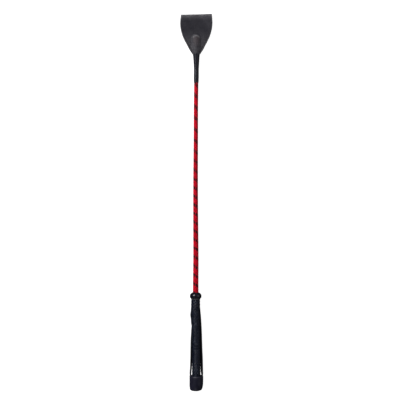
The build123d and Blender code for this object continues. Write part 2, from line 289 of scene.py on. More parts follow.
# ---- materials ---------------------------------------------------------------------------------------
class Paint:
    """A material with one Principled shader and a few short ways to feed it."""

    MIX_INPUTS, MIX_OUTPUT = (6, 7), 2               # the colour sockets of a Mix node

    def __init__(self, name, color, roughness, **sockets):
        self.material = bpy.data.materials.new(name)
        self.material.use_nodes = True
        self.tree = self.material.node_tree
        self.shader = self.tree.nodes["Principled BSDF"]
        self.shader.inputs["Base Color"].default_value = (*color, 1)
        self.shader.inputs["Roughness"].default_value = roughness
        for socket, value in sockets.items():
            self.shader.inputs[socket.replace("_", " ")].default_value = value
        self.material.diffuse_color = (*color, 1)

    def node(self, kind, inputs=(), **settings):
        """A new node; an input is a plain value or the socket that feeds it."""
        made = self.tree.nodes.new(kind)
        for key, value in settings.items():
            setattr(made, key, value)
        for key, value in dict(inputs).items():
            if isinstance(value, bpy.types.NodeSocket):
                self.tree.links.new(value, made.inputs[key])
            else:
                made.inputs[key].default_value = value
        return made

    def place(self, scale=(1, 1, 1)):
        """Object coordinates, in metres, times a scale."""
        where = self.node("ShaderNodeTexCoord").outputs["Object"]
        return self.node("ShaderNodeVectorMath", {0: where, 1: scale}, operation="MULTIPLY").outputs[0]

    def lie(self, scale):
        """The piece's own uv, in millimetres along and across it, times a scale."""
        where = self.node("ShaderNodeUVMap", uv_map="Lie").outputs["UV"]
        return self.node("ShaderNodeVectorMath", {0: where, 1: scale}, operation="MULTIPLY").outputs[0]

    def noise(self, where, scale, detail=3.0, distortion=0.0):
        inputs = {"Vector": where, "Scale": scale, "Detail": detail, "Distortion": distortion}
        return self.node("ShaderNodeTexNoise", inputs).outputs["Fac"]

    def cells(self, where, scale):
        """Distance to the nearest edge between pebbles."""
        inputs = {"Vector": where, "Scale": scale}
        return self.node("ShaderNodeTexVoronoi", inputs, feature="DISTANCE_TO_EDGE").outputs["Distance"]

    def mark(self, name):
        """A value that the mesh carries at each point."""
        return self.node("ShaderNodeAttribute", attribute_name=name).outputs["Fac"]

    def joined(self, a, b, operation="ADD"):
        return self.node("ShaderNodeMath", {0: a, 1: b}, operation=operation).outputs[0]

    def span(self, value, low, high, to_low=0.0, to_high=1.0):
        """The value's range from low to high, stretched to another range."""
        inputs = {"Value": value, "From Min": low, "From Max": high, "To Min": to_low, "To Max": to_high}
        return self.node("ShaderNodeMapRange", inputs).outputs["Result"]

    def tint(self, share, first, second):
        """Mixes two colours, each a colour or a socket, by a share."""
        made = self.node("ShaderNodeMix", data_type="RGBA")
        self.tree.links.new(share, made.inputs["Factor"])
        for socket, value in zip(self.MIX_INPUTS, (first, second)):
            if isinstance(value, bpy.types.NodeSocket):
                self.tree.links.new(value, made.inputs[socket])
            else:
                made.inputs[socket].default_value = (*value, 1)
        return made.outputs[self.MIX_OUTPUT]

    def color(self, socket):
        self.tree.links.new(socket, self.shader.inputs["Base Color"])

    def rough(self, socket):
        self.tree.links.new(socket, self.shader.inputs["Roughness"])

    def relief(self, *layers):
        """Bump from (height, depth in metres) layers, one on the other."""
        normal = None
        for height, depth in layers:
            inputs = {"Height": height, "Distance": depth, "Strength": 1.0}
            if normal is not None:
                inputs["Normal"] = normal
            normal = self.node("ShaderNodeBump", inputs).outputs["Normal"]
        self.tree.links.new(normal, self.shader.inputs["Normal"])


def leather(name, dark, light, wear_and_highlight_pale, roughness, grain, depth):
    """Grained leather: pebbles of the size grain in metres with painted shade in the creases between them,
    pores, creases, and a pale colour at marked places for edge wear and, on the strap, a painted highlight.
    """
    paint = Paint(name, dark, roughness, Specular_IOR_Level=0.3)
    where = paint.place()
    drift = paint.noise(where, 1 / (grain * 3), 2.0)
    pebbles = paint.span(paint.cells(where, 1 / grain), 0.0, 0.22)
    pores = paint.noise(where, 1 / (grain * 0.35), 3.0)
    clouds = paint.noise(where, 55.0, 4.0, 0.6)
    body = paint.tint(paint.span(clouds, 0.3, 0.7), dark, light)
    # Painted shade: darker in the creases between the pebbles.
    body = paint.tint(paint.span(pebbles, 0.0, 1.0, 0.35, 0.0), body, tuple(0.55 * c for c in dark))
    # Pale colour at marked places: edge wear, and on the strap's left edge a painted highlight as well.
    edge = paint.joined(paint.mark("wear"), paint.span(clouds, 0.25, 0.75, 0.5, 1.3), "MULTIPLY")
    paint.color(paint.tint(edge, body, wear_and_highlight_pale))
    paint.rough(paint.span(paint.joined(drift, pores), 0.6, 1.4, roughness - 0.08, roughness + 0.1))
    paint.relief((pebbles, depth), (pores, depth * 0.4), (clouds, depth * 2.0))
    return paint.material


def keeper_leather():
    """The keeper's leather, with a brownish cast where it is stretched over the rod's end."""
    dark, light = (0.0235, 0.0222, 0.031), (0.0345, 0.0325, 0.043)
    pit_shade, stretched, scuff_and_highlight_pale = (0.014, 0.013, 0.018), (0.062, 0.044, 0.049), (0.185, 0.180, 0.190)
    paint = Paint("keeper_leather", dark, 0.55, Specular_IOR_Level=0.3)
    where = paint.place()
    grain = paint.span(paint.cells(where, 1250.0), 0.0, 0.24)
    pores = paint.noise(where, 3600.0, 3.0)
    creases = paint.noise(paint.place((1.0, 2.6, 1.0)), 120.0, 5.0, 1.2)
    clouds = paint.noise(where, 45.0, 4.0, 0.8)
    body = paint.tint(paint.span(clouds, 0.3, 0.7), dark, light)
    # Painted shade: darker in the hollows of the grain.
    body = paint.tint(paint.span(grain, 0.0, 1.0, 0.4, 0.0), body, pit_shade)
    body = paint.tint(paint.mark("stretch"), body, stretched)
    # Pale colour at marked places: real scuffs at the cut edges and neck, and painted highlights along the
    # fold and over the rod's tip.
    scuffs_and_highlights = paint.joined(paint.mark("wear"), paint.span(creases, 0.35, 0.7, 0.5, 1.4), "MULTIPLY")
    paint.color(paint.tint(scuffs_and_highlights, body, scuff_and_highlight_pale))
    paint.rough(paint.span(paint.joined(clouds, pores), 0.6, 1.4, 0.46, 0.66))
    paint.relief((grain, 0.00005), (pores, 0.00002), (creases, 0.00012))
    return paint.material


def yarn(name, dark, bright, gloss):
    """Shiny filament yarn: fine lines along each strand, and a little unevenness in its dye."""
    paint = Paint(name, bright, gloss, Specular_IOR_Level=0.18)
    filaments = paint.noise(paint.lie((0.12, 9.0, 1.0)), 1.0, 2.0, 0.15)
    plies = paint.noise(paint.lie((0.05, 2.2, 1.0)), 1.0, 1.0)
    dye = paint.noise(paint.place(), 90.0, 3.0)
    share = paint.joined(paint.span(filaments, 0.3, 0.7, 0.0, 0.75), paint.span(dye, 0.3, 0.7, 0.0, 0.25))
    paint.color(paint.tint(share, dark, bright))
    paint.rough(paint.span(filaments, 0.3, 0.7, gloss + 0.12, gloss - 0.05))
    paint.relief((plies, 0.00010), (filaments, 0.00005))
    return paint.material


def thong(name, dark, light, roughness):
    """Flat leather lace of the plaited grip: grain, a faint stretch along the lace, and painted shade in
    the low spots of the grain.
    """
    paint = Paint(name, dark, roughness, Specular_IOR_Level=0.52)
    where = paint.place()
    grain = paint.span(paint.cells(where, 1500.0), 0.0, 0.22)
    pull = paint.noise(paint.lie((0.25, 2.4, 1.0)), 1.0, 3.0, 0.4)
    clouds = paint.noise(where, 140.0, 3.0)
    body = paint.tint(paint.span(clouds, 0.3, 0.7), dark, light)
    # Painted shade: darker in the creases of the grain.
    paint.color(paint.tint(paint.span(grain, 0.0, 1.0, 0.3, 0.0), body, tuple(0.5 * c for c in dark)))
    paint.rough(paint.span(pull, 0.3, 0.7, roughness - 0.1, roughness + 0.12))
    paint.relief((grain, 0.00004), (pull, 0.00006))
    return paint.material


# Pale colour of marked places: the painted highlight below the cap's rim, and the collar's paler foot.
MARKED_PALE = (0.21, 0.21, 0.225)


def moulded(name, dark, light, roughness, grain, depth, **sockets):
    """Moulded rubber or plastic: an even skin with fine grain, slight polish marks, and a pale colour at
    marked places: a painted highlight below the cap's rim, and a paler foot on the collar.
    """
    paint = Paint(name, dark, roughness, **sockets)
    where = paint.place()
    fine = paint.noise(where, 1 / grain, 3.0)
    rubs_and_highlight = paint.noise(paint.place((1.0, 0.3, 1.0)), 240.0, 4.0, 0.5)
    body = paint.tint(paint.span(rubs_and_highlight, 0.35, 0.7), dark, light)
    # Marked places take the pale colour; on the cap this is a painted highlight.
    paint.color(paint.tint(paint.mark("wear"), body, MARKED_PALE))
    dull = paint.span(rubs_and_highlight, 0.3, 0.7, roughness - 0.05, roughness + 0.1)
    paint.rough(paint.joined(dull, paint.span(paint.mark("wear"), 0.0, 1.0, 0.0, 0.14), "SUBTRACT"))
    paint.relief((fine, depth))
    return paint.material


def turned_wood():
    """Pale wood with its grain along the core."""
    paint = Paint("core_wood", (0.42, 0.27, 0.14), 0.6)
    rings = paint.noise(paint.place((900.0, 40.0, 900.0)), 1.0, 4.0, 0.6)
    pores = paint.noise(paint.place((4000.0, 160.0, 4000.0)), 1.0, 2.0)
    paint.color(paint.tint(paint.span(rings, 0.3, 0.7), (0.30, 0.17, 0.08), (0.50, 0.34, 0.19)))
    paint.rough(paint.span(pores, 0.3, 0.7, 0.5, 0.7))
    paint.relief((pores, 0.00004))
    return paint.material


def glass_fibre():
    """Resin over glass strands that run along the rod."""
    paint = Paint("rod_fibreglass", (0.72, 0.70, 0.60), 0.35)
    strands = paint.noise(paint.place((2500.0, 25.0, 2500.0)), 1.0, 3.0)
    paint.color(paint.tint(paint.span(strands, 0.3, 0.7), (0.60, 0.58, 0.47), (0.80, 0.79, 0.71)))
    paint.rough(paint.span(strands, 0.3, 0.7, 0.3, 0.5))
    paint.relief((strands, 0.00003))
    return paint.material


def wound_thread():
    """Thread wound in close turns, for the bindings that the sleeve and the handle hide."""
    paint = Paint("binding_thread", (0.02, 0.02, 0.022), 0.5)
    inputs = {"Vector": paint.place(), "Scale": 480.0, "Distortion": 0.3}
    turns = paint.node("ShaderNodeTexWave", inputs, bands_direction="Y").outputs["Fac"]
    fuzz = paint.noise(paint.place(), 3000.0, 3.0)
    paint.color(paint.tint(turns, (0.008, 0.008, 0.009), (0.035, 0.035, 0.038)))
    paint.rough(paint.span(fuzz, 0.3, 0.7, 0.4, 0.65))
    paint.relief((turns, 0.00012), (fuzz, 0.00002))
    return paint.material


def blackened_steel():
    """Dark steel with fine scratches."""
    paint = Paint("tack_steel", (0.05, 0.05, 0.055), 0.32, Metallic=1.0)
    scratches = paint.noise(paint.place((1.0, 6.0, 1.0)), 900.0, 4.0)
    paint.color(paint.tint(paint.span(scratches, 0.35, 0.7), (0.035, 0.035, 0.04), (0.11, 0.11, 0.12)))
    paint.rough(paint.span(scratches, 0.3, 0.7, 0.25, 0.45))
    paint.relief((scratches, 0.00001))
    return paint.material


KEEPER_LEATHER = keeper_leather()
RED_YARN = yarn("red_yarn", (0.36, 0.003, 0.018), (0.66, 0.006, 0.036), 0.42)
BLACK_YARN = yarn("black_yarn", (0.014, 0.008, 0.009), (0.048, 0.027, 0.030), 0.42)
BLACK_THREAD = yarn("black_thread", (0.012, 0.012, 0.013), (0.050, 0.050, 0.054), 0.5)
GRIP_LEATHER = thong("grip_leather", (0.0045, 0.0075, 0.0185), (0.010, 0.015, 0.034), 0.22)
# The strap's pale colour serves its edge wear and a painted highlight on its left edge.
STRAP_LEATHER = leather("strap_leather", (0.010, 0.011, 0.017), (0.017, 0.018, 0.027), (0.11, 0.11, 0.115),
                        0.48, 0.0007, 0.00004)
GLOSS = moulded("collar_gloss", (0.010, 0.010, 0.016), (0.016, 0.016, 0.026), 0.18, 0.0009, 0.000012,
                Specular_IOR_Level=0.7)
SLEEVE_GLOSS = moulded("sleeve_gloss", (0.014, 0.015, 0.024), (0.026, 0.027, 0.038), 0.36, 0.0012, 0.000015,
                       Specular_IOR_Level=0.45)
CAP_RUBBER = moulded("cap_rubber", (0.013, 0.013, 0.028), (0.021, 0.0205, 0.042), 0.42, 0.00045, 0.00005,
                     Specular_IOR_Level=0.6)
WOOD = turned_wood()
FIBREGLASS = glass_fibre()
BINDING = wound_thread()
STEEL = blackened_steel()


# ---- stem: red braid with a black tracer --------------------------------------------------------------
# (distance from the butt, radius over the strands) and (distance from the butt, length of one turn)
STEM = [(140, STEM_LOW_R + 0.2), (COLLAR_TOP, STEM_LOW_R + 0.2), (430, 3.72), (529, 3.58), (560, 3.45)]
TRACER_PITCH = [(140, 15.1), (208, 15.1), (222, 16.8), (236, 14.9), (362, 14.8), (388, 16.5), (424, 17.9),
                (455, 20.0), (485, 19.6), (560, 19.2)]
BRAID_START, BRAID_END = COLLAR_TOP - 3.0, SLEEVE_START + 3.0
CARRIERS = 12                                        # strands each way
TRACERS = [(i, -1) for i in range(4)]                # black ones, side by side
BRAID_BEGIN = math.radians(-19)                      # where the first strand starts, about the axis


def make_stem():
    """The braid, as three pieces: red strands each way, and the tracer's black ones."""
    braid = Braid(
        BRAID_START, BRAID_END,
        radius=lambda s: np.interp(s, *zip(*STEM)), pitch=lambda s: np.interp(s, *zip(*TRACER_PITCH)),
        per_way=CARRIERS, over=2, under=1, thick=0.62, lift=0.24, width=0.99, samples=44, section=8,
    )
    rising = [(i, 1) for i in range(CARRIERS)]
    falling = [(i, -1) for i in range(CARRIERS) if (i, -1) not in TRACERS]
    parts = [("red_braid_rising", rising, RED_YARN, "braid_thread"),
             ("red_braid_falling", falling, RED_YARN, "braid_thread"),
             ("black_tracer", TRACERS, BLACK_YARN, "binding_thread")]
    for name, strands, material, slot in parts:
        points, faces, uv = braid.mesh(strands, BRAID_BEGIN)
        piece(name, points, faces, material, "crop", ["braid_cover"], slot, uv)


# ---- handle: plaited grip, collar, cap ----------------------------------------------------------------
GRIP_PITCH = 44.0                                    # length of one turn of a lace
# (distance from the butt, radius over the laces) and (distance from the butt, lean to the right)
GRIP = [(15.0, 7.3), (CAP_TOP, 7.45), (60.0, 7.2), (90.0, 7.2), (130.0, 7.35), (144.0, 7.9),
        (GRIP_TOP + 3, GRIP_TOP_R + 0.35)]
GRIP_LEAN = [(CAP_TOP - 4, -0.25), (60.0, 0.0), (125.0, 0.0), (146.0, -0.25), (GRIP_TOP + 1.2, -0.05)]
THONGS = 8                                           # laces each way
LINING_R = 5.9
LINING_SEGMENTS = 48


def make_grip():
    """The plait of leather laces, and a dark lining that shows between them."""
    plait = Braid(
        CAP_TOP - 4.0, GRIP_TOP + 1.2,
        radius=lambda s: np.interp(s, *zip(*GRIP)), pitch=lambda s: GRIP_PITCH + 0 * s,
        per_way=THONGS, over=1, under=1, thick=1.2, lift=0.46, width=1.0, samples=96, section=12, power=2.0,
    )
    points, faces, uv = plait.mesh([(i, way) for way in (-1, 1) for i in range(THONGS)])
    points[:, 0] += smooth(GRIP_LEAN, points[:, 1])
    piece("grip_plait", points, faces, GRIP_LEATHER, "crop", ["grip_cover"], "grip_leather", uv)
    lining = rounded_outline([
        (CAP_TOP - 6, 4.0, 0), (CAP_TOP - 6, LINING_R, 0),
        (GRIP_TOP + 1, LINING_R + 0.2, 0), (GRIP_TOP + 1, 4.8, 0),
    ])
    points, faces = lathe(lining, LINING_SEGMENTS)
    piece("grip_lining", points, faces, CAP_RUBBER, "crop", slot="cap_leather")


COLLAR_SEGMENTS = 96
FOOT_PALE = 0.36                                      # how much paler the collar's foot is painted


def make_collar():
    """A full round bead whose short foot closes over the grip's end."""
    outline = rounded_outline([
        (COLLAR_START - 1.2, STEM_LOW_R + 0.4, 0), (COLLAR_START - 1.2, GRIP_TOP_R + 0.65, 0.5),
        (COLLAR_START + 1.2, GRIP_TOP_R + 0.95, 1.0), (COLLAR_START + 1.5, COLLAR_R - 0.1, 2.2),
        (COLLAR_START + 5.0, COLLAR_R + 0.5, 2.6), (COLLAR_START + 7.8, COLLAR_R - 0.1, 2.8),
        (COLLAR_TOP - 1.2, STEM_LOW_R + 2.2, 2.4), (COLLAR_TOP - 0.4, STEM_LOW_R + 1.0, 0.8),
        (COLLAR_TOP - 2.0, STEM_LOW_R - 0.2, 0),
    ], steps=9)
    points, faces = lathe(outline, COLLAR_SEGMENTS)
    on_foot = 1 - ease(outline[:, 0], COLLAR_START + 0.6, COLLAR_START + 1.4)
    wear = np.tile(FOOT_PALE * on_foot, COLLAR_SEGMENTS)
    piece("collar", points, faces, GLOSS, "crop", ["collar_ring"], "collar_gloss", wear=wear)


CAP_SEGMENTS = 128
# A painted highlight close below the cap's rim, where the rolled edge catches the key lamp: the angle about
# the axis it is centred on, and how far it spreads round.
HIGHLIGHT_AT, HIGHLIGHT_SPREAD = math.radians(-6), math.radians(20)
HIGHLIGHT_BELOW = 0.9                                      # the painted highlight lies this far below the rim
HIGHLIGHT_REACH = 0.35                                     # how far it reaches to either side of that line
DENT = 0.05                                          # how far the skin is from round


def make_cap():
    """A cup with a rounded butt and a soft rim, and one painted highlight close below the rim, a little
    left of the top.
    """
    outline = rounded_outline([
        (0.0, 0.0, 0), (0.05, 5.5, 3.0), (1.5, CAP_R - 1.5, 5.0), (8.6, CAP_R, 4.5),
        (CAP_TOP - 6.0, CAP_R + 0.1, 1.0), (CAP_TOP - HIGHLIGHT_BELOW, CAP_R + 0.14, 1.4),
        (CAP_TOP, CAP_R + 0.1, 1.1), (CAP_TOP - 0.1, CAP_R - 1.6, 0.6), (CAP_TOP - 0.5, CAP_R - 2.2, 0.4),
        (CAP_TOP - 0.5, 6.4, 0), (CAP_TOP - 5.0, 6.2, 0), (CAP_TOP - 5.0, 0.0, 0),
    ], steps=9)

    def dents(along, angle):
        """Broad dents of the soft skin, which fade out at the butt and at the rim."""
        wave = np.sin(3 * angle + 0.21 * along) + 0.6 * np.sin(5 * angle - 0.33 * along + 1.0)
        return DENT * wave * ease(along, 2, 8) * ease(CAP_TOP - along, 0.5, 4)

    points, faces = lathe(outline, CAP_SEGMENTS, dents)
    # Painted highlight: a pale band just below the rim, on the side towards the key lamp.
    from_highlight = np.mod(around(CAP_SEGMENTS) - HIGHLIGHT_AT + math.pi, 2 * math.pi) - math.pi
    from_line = outline[:, 0] - (CAP_TOP - HIGHLIGHT_BELOW)
    rubs_and_highlight = np.exp(-((from_line / HIGHLIGHT_REACH) ** 2)) * (outline[:, 1] > CAP_R - 0.8)
    wear = np.outer(np.exp(-((from_highlight / HIGHLIGHT_SPREAD) ** 2)), rubs_and_highlight)
    piece("cap", points, faces, CAP_RUBBER, "crop", ["end_cap"], "cap_leather", wear=wear.ravel())


TACK_AT, TACK_ANGLES, TACK_R = 7.1, (42.0, 222.0), 1.25
TACK_DEEP, TACK_PROUD = 1.2, 0.45                    # below and above the cap's skin
TACK_SUNK = 0.35                                     # the skin is this much nearer the axis there


def make_tacks():
    """Two domed tack heads on the cap's rounded end."""
    dome = rounded_outline([
        (-TACK_DEEP, 0.0, 0), (-TACK_DEEP, TACK_R, 0), (0.05, TACK_R, 0.3),
        (0.42, 0.55, 0.6), (TACK_PROUD, 0.0, 0),
    ])
    angles = around(24)
    points, faces, first = [], [], 0
    for degrees in TACK_ANGLES:
        lean = math.radians(degrees)
        out = np.array((math.sin(lean), 0, math.cos(lean)))
        side = np.cross(out, (0, 1, 0))
        centre = np.array((0, TACK_AT, 0)) + out * (CAP_R - TACK_SUNK)
        for angle in angles:
            spoke = math.cos(angle) * side + math.sin(angle) * np.array((0, 1, 0))
            points += [centre + out * h + spoke * r for h, r in dome]
        faces += tube_faces(len(angles), len(dome), first, capped=False, ring_closed=True)
        first += len(angles) * len(dome)
    piece("tack_heads", points, faces, STEEL, "crop", ["cap_tacks"], "tack_steel")


# ---- sleeve over the stem's tip -----------------------------------------------------------------------
SLEEVE = [(SLEEVE_START, 3.85), (537.0, 4.05), (545.0, 4.08), (553.5, 4.02), (561.0, 4.32), (569.0, 4.82),
          (575.0, 5.30), (NECK, NECK_R + 0.1)]
SLEEVE_WALL = 0.5
SLEEVE_SEGMENTS = 72
SLEEVE_LIP, LIP_DROP = 0.25, 0.15                    # length and height of the softened edge at each end
WRINKLE = 0.03
WHIPPED = (546.0, 572.0)                             # where thread turns show through the sleeve
THREAD_PITCH, THREAD_RISE = 0.85, 0.035


def make_sleeve():
    """A shrunk sleeve: it shows the thread turns under it and a few faint wrinkles."""
    at = np.linspace(SLEEVE_START + SLEEVE_LIP, NECK - SLEEVE_LIP, 150)
    outer = smooth(SLEEVE, at)
    over_turns = ease(at, WHIPPED[0], WHIPPED[0] + 3) * ease(WHIPPED[1] - at, 0, 3)
    turns = over_turns * THREAD_RISE * np.sin(2 * math.pi * at / THREAD_PITCH)
    outside = np.stack([at, outer + turns], axis=1)
    start = [(SLEEVE_START, outer[0] - SLEEVE_WALL), (SLEEVE_START, outer[0] - LIP_DROP)]
    end = [(NECK, outer[-1] - LIP_DROP), (NECK, outer[-1] - SLEEVE_WALL)]
    inside = np.stack([at[::-10], outer[::-10] - SLEEVE_WALL], axis=1)
    outline = np.concatenate([start, outside, end, inside])

    def wrinkles(along, angle):
        """Faint long wrinkles."""
        return WRINKLE * np.sin(2 * angle + along * 0.7) * np.sin(along * 0.45 + 1.0)

    points, faces = lathe(outline, SLEEVE_SEGMENTS, wrinkles)
    piece("sleeve", points, faces, SLEEVE_GLOSS, "crop", ["tip_sleeve"], "sleeve_gloss")


# ---- keeper: one strip of leather, folded at the far end ----------------------------------------------
LAYER = 2.05                                         # leather thickness
LAYER_GAP = 0.2                                      # between the two layers
HALF_FOLD = 0.5 * (LAYER + LAYER_GAP)                # middle of a layer, from the keeper's middle
# (distance from the butt, half the keeper's width), and of the rod's bulge its height and its half width
HALF_WIDTH = [(NECK - 4, 4.2), (NECK - 1.0, 5.0), (NECK + 0.6, 6.3), (584.0, 8.55), (596.7, 15.7),
              (605.3, 20.25), (612.0, 23.1), (618.5, 25.2), (625.0, 26.6), (633.0, 27.35), (641.0, 27.0),
              (FOLD, 26.3)]
ROD_RISE = [(NECK - 4, 3.5), (NECK, 3.95), (588.0, 3.95), (606.0, 3.85), (612.0, 3.8)]
ROD_FLANK = [(NECK - 4, 7.0), (590.0, 8.6), (606.0, 8.8), (612.0, 8.2)]
ROD_TIP, ROD_TIP_FALL = 607.7, 8.0                   # the bulge falls away from here, over this length
ROD_BACK, ROD_FOOT = 2.2, 1.6                        # powers: how full its back is, and how soft its foot
RIM_PAST, RIM_BOW, RIM_REACH = 3.6, 0.075, 1.5       # the bowed painted highlight over the rod's tip, where the bulge's end slope faces the key lamp
SAG_RUN, SAG = 31.8, 4.37                            # how far the fold hangs below the axis, over this run
SAG_ARC = 1.0125                                     # the sagging part is longer than its run by this
FOLD_SKEW, SKEW_HALF = 0.8, 26.0                     # the fold isn't square: it is this far out at this x
WAVE, CURL, RIPPLE = 0.30, 0.55, 0.12                # how far the free tongue waves, curls and ripples
CURL_HALF, LEFT_CURL = 27.0, 0.55                    # the curl is for this x; the left edge has this share
SEAM_PRESS, EDGE_LIFT = 0.16, 0.28                   # the seam lies lower, and the free edges open
SEAM_HALF, SEAM_SLANT = 0.9, 0.88                    # half the pressed line's width, and its slant's cosine
STITCH_INSET = 2.6
STITCH_SPAN = (588.0, 609.0)
STITCHES = 7                                         # along each edge
STITCH_FILL = 0.84                                   # share of the pitch that a stitch takes
STITCH_SUNK, STITCH_ARCH = 0.35, 0.45                # its ends below the skin, and its rise above them
STITCH_RINGS = 9
THREAD_R = 0.36
# The round of a cut edge, as (out, up) shares of half the leather's thickness.
CUT_EDGE = [(0.16, 0.93), (0.34, 0.72), (0.42, 0.3), (0.42, -0.3), (0.34, -0.72), (0.16, -0.93)]
# How pale the worn edges and neck are, how pale the painted highlights along the fold and over the rod's
# tip are, and how much the leather is stretched over the rod.
EDGE_WEAR, CUT_WEAR, FOLD_HIGHLIGHT, NECK_WEAR, RIM_HIGHLIGHT = 0.25, 0.3, 0.66, 0.26, 0.75
STRETCH = 0.62
KEEPER_ACROSS = 61                                   # points across the strip


def half_width(along):
    """Half the keeper's width at some distances from the butt."""
    return smooth(HALF_WIDTH, along)


def layer_height(x, along):
    """Middle of one layer above the keeper's middle: flat, with a bulge over the rod's end."""
    rise = np.interp(along, *zip(*ROD_RISE)) - HALF_FOLD
    flank = np.interp(along, *zip(*ROD_FLANK))
    past = np.maximum(0, along - ROD_TIP) / ROD_TIP_FALL
    away = np.minimum(1, np.hypot(x / flank, past))
    height = HALF_FOLD + rise * (1 - away ** ROD_BACK) ** ROD_FOOT
    width = half_width(along)
    in_span = ease(along, STITCH_SPAN[0] - 2, STITCH_SPAN[0]) * ease(STITCH_SPAN[1] + 2 - along, 0, 2)
    from_seam = (width - np.abs(x) - STITCH_INSET) * SEAM_SLANT
    pressed = SEAM_PRESS * np.exp(-((from_seam / SEAM_HALF) ** 2)) * in_span
    lifted = EDGE_LIFT * (np.abs(x) / width) ** 6 * ease(along, 612, 628) * ease(FOLD - along, 2, 14)
    return height - pressed + lifted


def waves(x, along):
    """Slow unevenness of the whole tongue, the same for both layers."""
    free = ease(along, 596, 640)
    slow = WAVE * np.sin(x * 0.11 + 0.6) * np.sin(along * 0.075 - 43.0)
    curl = CURL * (np.abs(x) / CURL_HALF) ** 3 * np.where(x > 0, 1.0, LEFT_CURL)
    fine = RIPPLE * np.sin(x * 0.31 + along * 0.19) * ease(along, 588, 600)
    return free * (slow + curl) + fine


def sagged(points):
    """Bends what lies past the hinge down along an arc, so that the fold reaches the floor."""
    radius = (SAG_RUN ** 2 + SAG ** 2) / (2 * SAG)
    x, along, z = points[..., 0], points[..., 1], points[..., 2]
    past = np.maximum(0, along - KEEPER_HINGE)
    angle = past / radius
    bent_along = np.minimum(along, KEEPER_HINGE) + (radius + z) * np.sin(angle)
    bent_z = -radius * (1 - np.cos(angle)) + z * np.cos(angle)
    return np.stack([x, bent_along, bent_z], axis=-1)


def keeper_rows():
    """Rows of the strip, as (along, side, turn): along the upper layer, round the fold and back.

    They stand closer together over the rod's tip.
    """
    fold_middle = KEEPER_HINGE + SAG_RUN * SAG_ARC
    stations = np.concatenate([
        np.linspace(NECK - 3.5, 606, 36), np.linspace(606.8, 618, 28), np.linspace(619, fold_middle, 32),
    ])
    turns = np.linspace(0, math.pi, 13)[1:-1]
    upper = [(s, 1, 0.0) for s in stations]
    fold = [(fold_middle, 0, t) for t in turns]
    lower = [(s, -1, 0.0) for s in stations[::-1]]
    return upper + fold + lower, fold_middle


def keeper_grid(rows, shares):
    """Middle of the leather: a point for each row and each share of the half width, from -1 to 1."""
    grid = np.zeros((len(rows), len(shares), 3))
    for i, (along, side, turn) in enumerate(rows):
        flat = np.full(len(shares), along)
        x = shares * half_width(flat)
        rise = layer_height(x, flat)
        at = flat if side else flat + rise * math.sin(turn)
        z = rise * (side or math.cos(turn)) + waves(x, flat)
        skew = FOLD_SKEW * x / SKEW_HALF * ease(at, 618, FOLD)
        grid[i] = np.stack([x, at + skew, z], axis=-1)
    return sagged(grid)


def keeper_skin(grid):
    """Rings round the strip: outer face, right cut edge, inner face, left cut edge."""
    down = np.gradient(grid, axis=0)
    across = np.gradient(grid, axis=1)
    normal = np.cross(across, down)
    normal /= np.linalg.norm(normal, axis=-1, keepdims=True)
    out = across / np.linalg.norm(across, axis=-1, keepdims=True)
    half = 0.5 * LAYER
    right = [grid[:, -1] + half * (out[:, -1] * o + normal[:, -1] * n) for o, n in CUT_EDGE]
    left = [grid[:, 0] + half * (normal[:, 0] * n - out[:, 0] * o) for o, n in CUT_EDGE[::-1]]
    outer = grid + normal * half
    inner = (grid - normal * half)[:, ::-1]
    return np.concatenate([outer, np.stack(right, axis=1), inner, np.stack(left, axis=1)], axis=1)


def keeper_marks(rows, shares, x, fold_middle):
    """Wear, painted highlights and stretch of the skin: pale cut edges and neck, a painted highlight along
    the fold and a bowed one over the rod's tip, and the stretched leather over the rod.
    """
    share = np.concatenate([shares, np.ones(len(CUT_EDGE)), shares[::-1], -np.ones(len(CUT_EDGE))])
    near_edge = np.tile(ease(np.abs(share), 0.965, 1.0), len(rows))
    cut = np.tile((np.abs(share) == 1.0).astype(float), len(rows))
    along = np.array([s for s, _, _ in rows]).repeat(len(share))
    from_fold = along - fold_middle
    # A painted highlight along the fold, where the leather curves round towards the key lamp.
    at_fold = 0.5 * (ease(from_fold, -11.0, -1.5) + ease(from_fold, -4.0, 0.0))
    near_neck = 1 - ease(along, 598, 626)
    flank = np.interp(along, *zip(*ROD_FLANK))
    on_rod = 1 - ease(np.abs(x) / flank, 0.35, 0.8)
    stretched = on_rod * ease(along, NECK + 8, NECK + 24) * ease(ROD_TIP + 3.5 - along, 0, 3)
    # Painted highlight: a bowed pale line where the bulge falls away past the rod's tip.
    highlight_line = ROD_TIP + RIM_PAST - RIM_BOW * x * x
    rod_tip_highlight = np.exp(-(((along - highlight_line) / RIM_REACH) ** 2)) * (1 - ease(np.abs(x), 4.6, 6.8))
    wear = EDGE_WEAR * near_edge + CUT_WEAR * cut + FOLD_HIGHLIGHT * at_fold
    wear += NECK_WEAR * near_neck + RIM_HIGHLIGHT * rod_tip_highlight
    return np.clip(wear, 0, 1), STRETCH * stretched


def make_keeper():
    """The strip as one closed mesh, sagged down past the hinge so that its fold reaches the floor."""
    rows, fold_middle = keeper_rows()
    even = np.linspace(-1, 1, KEEPER_ACROSS)
    shares = 0.35 * np.sin(0.5 * math.pi * even) + 0.65 * even
    rings = keeper_skin(keeper_grid(rows, shares))
    flat = rings.reshape(-1, 3)
    wear, stretch = keeper_marks(rows, shares, flat[:, 0], fold_middle)
    keeper = piece("keeper", flat, tube_faces(len(rows), rings.shape[1]), KEEPER_LEATHER,
                   stands_for=["keeper_base", "keeper_flap"], slot="keeper_leather",
                   wear=wear, stretch=stretch)
    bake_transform(keeper)


